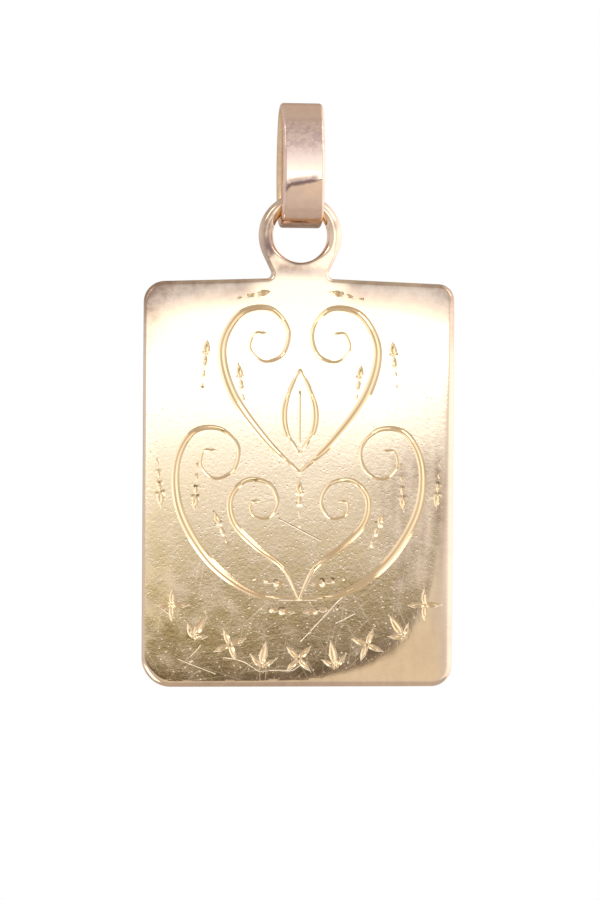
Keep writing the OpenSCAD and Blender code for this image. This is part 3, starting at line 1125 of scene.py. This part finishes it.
def band_tree(material):
    """Geometry Nodes: a band of rounded section along a closed path, with its seam, flat and marks."""
    tree = bpy.data.node_groups.new("band_along_path", "GeometryNodeTree")
    face = tree.interface
    face.new_socket("Geometry", in_out="INPUT", socket_type="NodeSocketGeometry")
    for name in band_values(material):
        kind = "NodeSocketMaterial" if name == "Material" else "NodeSocketFloat"
        face.new_socket(name, in_out="INPUT", socket_type=kind)
    face.new_socket("Geometry", in_out="OUTPUT", socket_type="NodeSocketGeometry")
    given = tree.nodes.new("NodeGroupInput").outputs
    place = node(tree, "GeometryNodeInputPosition").outputs[0]
    at = node(tree, "ShaderNodeSeparateXYZ", {0: place}).outputs

    path = node(tree, "GeometryNodeMeshToCurve", {"Mesh": given["Geometry"]})
    band = node(tree, "GeometryNodeCurveToMesh",
                {"Curve": path.outputs[0], "Profile Curve": band_section(tree, given, at)})

    front = calculate(tree, "LESS_THAN", at["Y"], FRONT_Y * MM)
    seam_z = scaled(tree, at["X"], given["Seam rise"], given["Seam height"])
    seam = seam_and_stain(tree, given, at, place, seam_z, front)
    inside = node(tree, "GeometryNodeInputNamedAttribute", {"Name": "within"}, data_type="FLOAT").outputs[0]
    # Painted shade low on the band's foot, where it runs through the eye
    foot = product(tree, ramp(tree, at["Z"], given["Foot top"], given["Foot low"]), FOOT_SHADE)
    # The inside is darkened, and painted yellower as a reflection of the gold across from it
    marks = {"wear": band_wear(tree, given, at, inside), "dirt_and_shade": seam,
             "tarnish_and_shade": greater(tree, foot, product(tree, inside, INSIDE_DARKENING)),
             "cut": product(tree, inside, INSIDE_PAINTED_REFLECTION)}
    marked = band.outputs[0]
    for name, value in marks.items():
        marked = stored(tree, marked, name, value)

    out_by = band_relief(tree, given, at, place, seam_z, front, seam)
    facing = node(tree, "GeometryNodeInputNormal").outputs[0]
    offset = node(tree, "ShaderNodeVectorMath", {0: facing, "Scale": out_by}, operation="SCALE")
    moved = node(tree, "GeometryNodeSetPosition", {"Geometry": marked, "Offset": offset.outputs[0]})
    shaded = node(tree, "GeometryNodeSetShadeSmooth", {0: moved.outputs[0]})
    real = node(tree, "GeometryNodeRealizeInstances", {0: shaded.outputs[0]})
    painted = node(tree, "GeometryNodeSetMaterial",
                   {"Geometry": real.outputs[0], "Material": given["Material"]})
    out = tree.nodes.new("NodeGroupOutput")
    tree.links.new(painted.outputs[0], out.inputs[0])
    return tree


def bail(material):
    """The bail, swept by Geometry Nodes and kept as a plain mesh."""
    path = oval_path()
    guide = bpy.data.meshes.new("bail_path")
    guide.from_pydata([(0, y * MM, z * MM) for y, z in path], loop_edges(0, len(path)), [])
    holder = put("bail_path", guide)
    band = holder.modifiers.new("band", "NODES")
    band.node_group = band_tree(material)
    values = band_values(material)
    for socket in band.node_group.interface.items_tree:
        if socket.name in values:
            band[socket.identifier] = values[socket.name]
    graph = bpy.context.evaluated_depsgraph_get()
    mesh = bpy.data.meshes.new_from_object(holder.evaluated_get(graph))
    bpy.data.objects.remove(holder)
    return put("flat_bail", mesh)


# Finishes: worn gold with fine scratches, grain, pits, mottling, tarnish, dirt, painted shade and a painted
# reflection

# The fine scratches: each direction in degrees, and how many times longer than wide its scratches are
SCRATCH_WAYS = [(8, 32), (43, 24), (81, 36), (118, 21), (162, 28)]

# They lie where noise is above a limit, made from their share by a factor and an offset, and are full above
# a second limit. Each direction is shifted by so much from the one before, and is stretched through the metal
SCRATCH_LIMIT = (-0.2, 0.73)
SCRATCH_FULL = 0.85
SCRATCH_SHIFT = (0.013, 0.0, 0.007)
SCRATCH_THROUGH = 0.3

# How layered the grains and the mottles are, and between which heights of its noise a mottle has its edge
GRAIN_LAYERS = {"Detail": 2.0, "Roughness": 0.55}
MOTTLE_LAYERS = {"Detail": 5.0, "Roughness": 0.6}
MOTTLE_EDGE = (0.35, 0.65)

# The pits: their number as a share of the grains, and their rim and floor by the distance from their middle
PITS_SHARE = 0.7
PIT_EDGE = (0.24, 0.1)

# Colours of dirt and of tarnish, each also used for painted shade
DIRT_AND_SHADE = (0.26, 0.165, 0.14, 1)
TARNISH_AND_SHADE = (0.42, 0.28, 0.19, 1)

# A factor and an offset each: the stain by wear, the tarnish and its painted shade by mottles, and the pits
# by mottles
STAIN_BY_WEAR = (0.9, 0.1)
TARNISH_AND_SHADE_BY_MOTTLE = (0.3, 0.85)
PITS_BY_MOTTLE = (0.85, 0.15)

# Roughness: of polished gold, what wear, mottles and dirt (with the painted shade that shares its mark) add,
# and a scratch's share of what a pit adds
POLISHED = 0.06
WEAR_ROUGHNESS = 0.3
MOTTLE_ROUGHNESS = 0.12
DIRT_ROUGHNESS = 0.3
SCRATCH_ROUGHNESS = 0.45

# The marks reach their full height where the wear times this is 1
HEIGHT_BY_WEAR = 1.9


def group(name, inputs, outputs):
    """A shader group with named numbers in and out. Returns its tree and its inputs."""
    tree = bpy.data.node_groups.new(name, "ShaderNodeTree")
    for in_out, sockets in (("INPUT", inputs), ("OUTPUT", outputs)):
        for socket in sockets:
            tree.interface.new_socket(socket, in_out=in_out, socket_type="NodeSocketFloat")
    return tree, tree.nodes.new("NodeGroupInput").outputs


def end_group(tree, results):
    """The group, with its results linked to its outputs."""
    out = tree.nodes.new("NodeGroupOutput")
    for name, socket in results.items():
        tree.links.new(socket, out.inputs[name])
    return tree


def per_metre(tree, per_mm, share=1):
    """A number in a millimetre as a texture's scale."""
    return calculate(tree, "MULTIPLY", per_mm, share / MM)


def scratch_group():
    """Short fine wear scratches in several directions, as a mask that is 1 in each."""
    tree, given = group("fine_scratches", ["Lines per mm", "Share"], ["Scratched"])
    place = node(tree, "ShaderNodeTexCoord").outputs["Object"]
    scale = per_metre(tree, given["Lines per mm"])
    limit = scaled(tree, given["Share"], *SCRATCH_LIMIT)
    total = 0.0
    for i, (turn, stretch) in enumerate(SCRATCH_WAYS):
        turned = node(tree, "ShaderNodeMapping",
                      {"Vector": place, "Location": tuple(i * shift for shift in SCRATCH_SHIFT),
                       "Rotation": (0.0, math.radians(turn), 0.0)})
        squeezed = node(tree, "ShaderNodeVectorMath",
                        {0: turned.outputs[0], 1: (1.0 / stretch, SCRATCH_THROUGH, 1.0)},
                        operation="MULTIPLY")
        lines = node(tree, "ShaderNodeTexNoise",
                     {"Vector": squeezed.outputs[0], "Scale": scale, "Detail": 0.0})
        mask = node(tree, "ShaderNodeMapRange",
                    {"Value": lines.outputs[0], "From Min": limit, "From Max": SCRATCH_FULL})
        total = greater(tree, mask.outputs[0], total)
    return end_group(tree, {"Scratched": total})


def grain_group():
    """Small grains of worn metal as a height, and masks of its pits and its slower mottles."""
    tree, given = group("worn_grain", ["Grains per mm", "Mottles per mm"], ["Height", "Pit", "Mottle"])
    place = node(tree, "ShaderNodeTexCoord").outputs["Object"]
    fine = node(tree, "ShaderNodeTexNoise",
                {"Vector": place, "Scale": per_metre(tree, given["Grains per mm"])} | GRAIN_LAYERS)
    pits = node(tree, "ShaderNodeTexVoronoi",
                {"Vector": place, "Scale": per_metre(tree, given["Grains per mm"], PITS_SHARE)})
    pit = node(tree, "ShaderNodeMapRange",
               {"Value": pits.outputs["Distance"], "From Min": PIT_EDGE[0], "From Max": PIT_EDGE[1]})
    slow = node(tree, "ShaderNodeTexNoise",
                {"Vector": place, "Scale": per_metre(tree, given["Mottles per mm"])} | MOTTLE_LAYERS)
    return end_group(tree, {"Height": fine.outputs[0], "Pit": pit.outputs[0],
                            "Mottle": ramp(tree, slow.outputs[0], *MOTTLE_EDGE)})


SCRATCH_GROUP = scratch_group()
GRAIN_GROUP = grain_group()


def blend(tree, share, first, second):
    """A colour between two others."""
    return node(tree, "ShaderNodeMix", {"Factor": share, 6: first, 7: second}, data_type="RGBA").outputs[2]


def gold(name, colour, stain, yellow, edge, lines, share, grains, mottles, heights, mark_roughness):
    """Worn gold, by its colours: its own, in mottles, where cut, rubbed or painted with a reflection, and at
    grazing angles.

    Lines, grains and mottles are numbers in a millimetre, and the share is that of the lines which are
    scratches. The heights are those of the grain, the scratches, the pits and the mottles in mm; scratches
    and pits go down.
    """
    made = bpy.data.materials.new(name)
    made.use_nodes = True
    tree = made.node_tree
    shader = tree.nodes["Principled BSDF"]
    shader.inputs["Metallic"].default_value = 1.0
    shader.inputs["Specular Tint"].default_value = edge
    yellowing_mark, wear_mark, tarnish_and_shade_mark, dirt_and_shade_mark = (
        node(tree, "ShaderNodeAttribute", attribute_name=mark).outputs["Fac"] for mark in MARKS)
    scratched = node(tree, "ShaderNodeGroup", {"Lines per mm": lines, "Share": share},
                     node_tree=SCRATCH_GROUP).outputs["Scratched"]
    grain = node(tree, "ShaderNodeGroup", {"Grains per mm": grains, "Mottles per mm": mottles},
                 node_tree=GRAIN_GROUP).outputs
    mottle = grain["Mottle"]
    dull = calculate(tree, "MULTIPLY", wear_mark, wear_mark)
    pitted = product(tree, grain["Pit"], scaled(tree, mottle, *PITS_BY_MOTTLE))

    tone = blend(tree, product(tree, mottle, scaled(tree, dull, *STAIN_BY_WEAR)), colour, stain)
    # Tarnish, and painted shade at the top edge, the eye and the bail's foot, in one colour
    patchy = product(tree, tarnish_and_shade_mark, scaled(tree, mottle, *TARNISH_AND_SHADE_BY_MOTTLE))
    tone = blend(tree, calculate(tree, "MINIMUM", patchy, 1.0), tone, TARNISH_AND_SHADE)
    # Yellower where cut or rubbed, and on the bail's inside as a painted reflection
    tone = blend(tree, yellowing_mark, tone, yellow)
    # Dirt on the bail's seam, and painted shade down the eye's lower left, in one colour
    tree.links.new(blend(tree, dirt_and_shade_mark, tone, DIRT_AND_SHADE), shader.inputs["Base Color"])

    matt = scaled(tree, product(tree, dull, wear_mark), WEAR_ROUGHNESS, POLISHED)
    matt = scaled(tree, product(tree, dull, mottle), MOTTLE_ROUGHNESS, matt)
    marked = greater(tree, product(tree, scratched, SCRATCH_ROUGHNESS), pitted)
    matt = scaled(tree, product(tree, marked, wear_mark), mark_roughness, matt)
    tree.links.new(scaled(tree, dirt_and_shade_mark, DIRT_ROUGHNESS, matt), shader.inputs["Roughness"])

    height = 0.0
    for mark, top in zip((grain["Height"], scratched, pitted, product(tree, mottle, dull)), heights):
        height = scaled(tree, mark, top, height)
    reach = calculate(tree, "MINIMUM", calculate(tree, "MULTIPLY", wear_mark, HEIGHT_BY_WEAR), 1.0)
    bump = node(tree, "ShaderNodeBump", {"Distance": MM, "Height": product(tree, reach, height)})
    tree.links.new(bump.outputs[0], shader.inputs["Normal"])
    return made


MEDAL_GOLD = gold("medal_gold", colour=(0.93, 0.71, 0.48, 1), stain=(0.74, 0.52, 0.41, 1),
                  yellow=(0.93, 0.68, 0.37, 1), edge=(1, 0.9, 0.75, 1),
                  lines=10, share=0.1, grains=5, mottles=2.6,
                  heights=(0.0021, -0.0002, -0.0023, 0.0004), mark_roughness=0.25)
BAIL_GOLD = gold("bail_gold", colour=(0.93, 0.67, 0.49, 1), stain=(0.61, 0.42, 0.36, 1),
                 yellow=(0.93, 0.67, 0.35, 1), edge=(0.95, 0.8, 0.65, 1),
                 lines=10, share=0.1, grains=5, mottles=2.6,
                 heights=(0.0012, -0.0003, -0.0006, 0.009), mark_roughness=0.4)

medal_piece = medal()
medal_piece.data.materials.append(MEDAL_GOLD)
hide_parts("medal")
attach(medal_piece, "medal")

bail_piece = bail(BAIL_GOLD)
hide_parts("bail")
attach(bail_piece, "bail")


# Studio: a pale floor, a bright surround and soft lights

FLOOR_DROP = 20
FLOOR_R = 42
FLOOR_SIDES = 96
FLOOR_COLOUR = (0.69, 0.66, 0.63, 1)
FLOOR_ROUGHNESS = 0.9

# Light from in front of the medal: degrees above the horizon, and its colour
SURROUND = [
    (-90, (0.40, 0.38, 0.38)),
    (-60, (0.61, 0.58, 0.59)),
    (-45, (0.65, 0.625, 0.64)),
    (-25, (0.69, 0.67, 0.69)),
    (-13, (0.82, 0.79, 0.74)),
    (-7, (0.84, 0.80, 0.71)),
    (-1.1, (0.80, 0.85, 0.88)),
    (-0.3, (0.93, 1.00, 1.06)),
    (0, (1.08, 1.18, 1.32)),
    (0.25, (1.35, 1.55, 1.8)),
    (0.6, (1.75, 2.05, 2.4)),
    (1.8, (1.75, 2.00, 2.3)),
    (2.8, (1.60, 1.74, 1.85)),
    (5, (1.48, 1.55, 1.68)),
    (9, (1.30, 1.37, 1.55)),
    (12.5, (1.17, 1.26, 1.50)),
    (16.5, (1.03, 1.14, 1.38)),
    (21, (0.92, 1.01, 1.19)),
    (27, (0.80, 0.86, 1.00)),
    (35, (0.68, 0.69, 0.78)),
    (44, (0.54, 0.53, 0.58)),
    (50, (0.50, 0.49, 0.52)),
    (54, (0.60, 0.58, 0.58)),
    (90, (0.58, 0.56, 0.56)),
]

# A colour ramp holds no more than 1, so it holds the light's colours divided by this
SURROUND_SCALE = 2.4

# A dark spot just below the horizon, where the camera stands: degrees, and what is left of the light
SPOT = [
    (-8.6, (1, 1, 1)),
    (-7, (0.26, 0.22, 0.19)),
    (-3.9, (0.10, 0.08, 0.072)),
    (-3.5, (0.165, 0.135, 0.10)),
    (-3, (0.375, 0.325, 0.175)),
    (-2.3, (0.72, 0.66, 0.435)),
    (-1.7, (0.88, 0.85, 0.72)),
    (-1.1, (0.97, 0.97, 0.93)),
    (-0.7, (1, 1, 1)),
]

# How far the bright zone and the spot rise to the left, about the middle of what the plate shows
MIDDLE_X = 0.113
SURROUND_TILT = 0.05
SPOT_TILT = 0.12

# From the sides and from behind, the light is even: degrees above the horizon, and its colour
BESIDE = [
    (-90, (0.24, 0.22, 0.22)),
    (-60, (0.34, 0.33, 0.35)),
    (-35, (0.52, 0.51, 0.55)),
    (-8, (0.62, 0.63, 0.72)),
    (6, (0.72, 0.73, 0.82)),
    (20, (0.66, 0.66, 0.74)),
    (35, (0.54, 0.53, 0.58)),
    (50, (0.52, 0.50, 0.54)),
    (54, (0.60, 0.58, 0.58)),
    (90, (0.58, 0.56, 0.56)),
]
LEFT_SHARE = 1.1
RIGHT_SHARE = 2.1
LOW_LEFT_SHARE = 1.3
BEHIND_SHARE = 0.8

# Where one light becomes the next, along a direction's x (to the right), y (to the back) or z
LEFT_X = (-0.1, -0.6)
RIGHT_X = (0.2, 0.7)
LOW_LEFT_X = (-0.15, -0.35)
LOW_LEFT_Z = (-0.2, -0.4)
BEHIND_Y = (0.75, 0.95)
AHEAD_Y = (-0.3, -0.6)
AHEAD_LEFT_X = (-0.2, -0.04)
AHEAD_RIGHT_X = (0.4, 0.22)
SPOT_LEFT_X = (-0.25, -0.12)
SPOT_RIGHT_X = (0.22, 0.14)

# Soft lights: x and z of what each looks at, its azimuth, elevation, distance, size and power in watts
LIGHTS = {
    "left_light": (0, EYE_Z + MIDDLE_Z, -48, 38, 260, 90, 0.05),
    "right_light": (0, EYE_Z + MIDDLE_Z, 52, 34, 260, 90, 0.05),
    "corner_light": (-HALF_W, EYE_Z + BASE_Z, -55, -41, 9, 7, 0.0003),
}


def by_height(tree, height, bands, scale):
    """A colour ramp over the height of a direction, whose colours are divided by the scale."""
    made = node(tree, "ShaderNodeValToRGB", {"Fac": scaled(tree, height, 0.5, 0.5)})
    stops = made.color_ramp.elements
    while len(stops) < len(bands):
        stops.new(0.5)
    for stop, (degrees, colour) in zip(stops, bands):
        stop.position = 0.5 + 0.5 * math.sin(math.radians(degrees))
        stop.color = tuple(c / scale for c in colour) + (1,)
    return made.outputs[0]


def surround():
    """White behind the object for the camera, a graded studio for the reflections."""
    world = bpy.data.worlds.new("studio")
    bpy.context.scene.world = world
    world.use_nodes = True
    tree = world.node_tree
    tree.nodes.clear()
    way = node(tree, "ShaderNodeTexCoord").outputs["Generated"]
    way = node(tree, "ShaderNodeSeparateXYZ", {0: way}).outputs

    low_left = product(tree, ramp(tree, way["X"], *LOW_LEFT_X), ramp(tree, way["Z"], *LOW_LEFT_Z))
    side = 1.0
    for where, share in ((ramp(tree, way["X"], *LEFT_X), LEFT_SHARE),
                         (ramp(tree, way["X"], *RIGHT_X), RIGHT_SHARE),
                         (low_left, LOW_LEFT_SHARE)):
        side = scaled(tree, where, share - 1, side)
    behind = scaled(tree, ramp(tree, way["Y"], *BEHIND_Y), BEHIND_SHARE - 1, 1.0)
    level = by_height(tree, way["Z"], BESIDE, SURROUND_SCALE)
    beside = node(tree, "ShaderNodeVectorMath", {0: level, "Scale": product(tree, side, behind)},
                  operation="SCALE")

    to_left = difference(tree, MIDDLE_X, way["X"])
    near = product(tree, ramp(tree, way["X"], *SPOT_LEFT_X), ramp(tree, way["X"], *SPOT_RIGHT_X))
    spot = by_height(tree, scaled(tree, to_left, SPOT_TILT, way["Z"]), SPOT, 1)
    zone = by_height(tree, scaled(tree, to_left, SURROUND_TILT, way["Z"]), SURROUND, SURROUND_SCALE)
    front = node(tree, "ShaderNodeVectorMath", {0: zone, 1: blend(tree, near, (1, 1, 1, 1), spot)},
                 operation="MULTIPLY")
    ahead = product(tree, ramp(tree, way["Y"], *AHEAD_Y), ramp(tree, way["X"], *AHEAD_LEFT_X),
                    ramp(tree, way["X"], *AHEAD_RIGHT_X))
    colour = blend(tree, ahead, beside.outputs[0], front.outputs[0])

    studio = node(tree, "ShaderNodeBackground", {"Color": colour, "Strength": SURROUND_SCALE})
    white = node(tree, "ShaderNodeBackground", {"Color": (1, 1, 1, 1), "Strength": 1.0})
    seen = node(tree, "ShaderNodeLightPath").outputs["Is Camera Ray"]
    mixed = node(tree, "ShaderNodeMixShader", {0: seen, 1: studio.outputs[0], 2: white.outputs[0]})
    node(tree, "ShaderNodeOutputWorld", {"Surface": mixed.outputs[0]})


def soft_light(name, x, z, azimuth, elevation, distance, size, power):
    """A square light that looks at a place. Azimuth 0 is in front of the plate, 90 to its right."""
    turn, rise = math.radians(azimuth), math.radians(elevation)
    way = Vector((math.sin(turn) * math.cos(rise), -math.cos(turn) * math.cos(rise), math.sin(rise)))
    data = bpy.data.lights.new(name, "AREA")
    data.size = size * MM
    data.energy = power
    made = put(name, data)
    made.matrix_world = stood_off((x, 0, z), way, distance)
    made.visible_camera = False


def floor():
    """A round pale floor well below the hanging medal."""
    mesh = bpy.data.meshes.new("floor")
    turns = np.linspace(0, 2 * math.pi, FLOOR_SIDES, endpoint=False)
    level = (MEDAL_LOW[2] - FLOOR_DROP) * MM
    rim_points = [(FLOOR_R * MM * math.cos(turn), FLOOR_R * MM * math.sin(turn), level) for turn in turns]
    mesh.from_pydata(rim_points, [], [tuple(range(FLOOR_SIDES))])
    made = put("floor", mesh)
    paint = bpy.data.materials.new("pale_floor")
    paint.use_nodes = True
    shader = paint.node_tree.nodes["Principled BSDF"]
    shader.inputs["Base Color"].default_value = FLOOR_COLOUR
    shader.inputs["Roughness"].default_value = FLOOR_ROUGHNESS
    made.data.materials.append(paint)


surround()
for light, values in LIGHTS.items():
    soft_light(light, *values)
floor()
bpy.context.scene.view_settings.view_transform = "Standard"
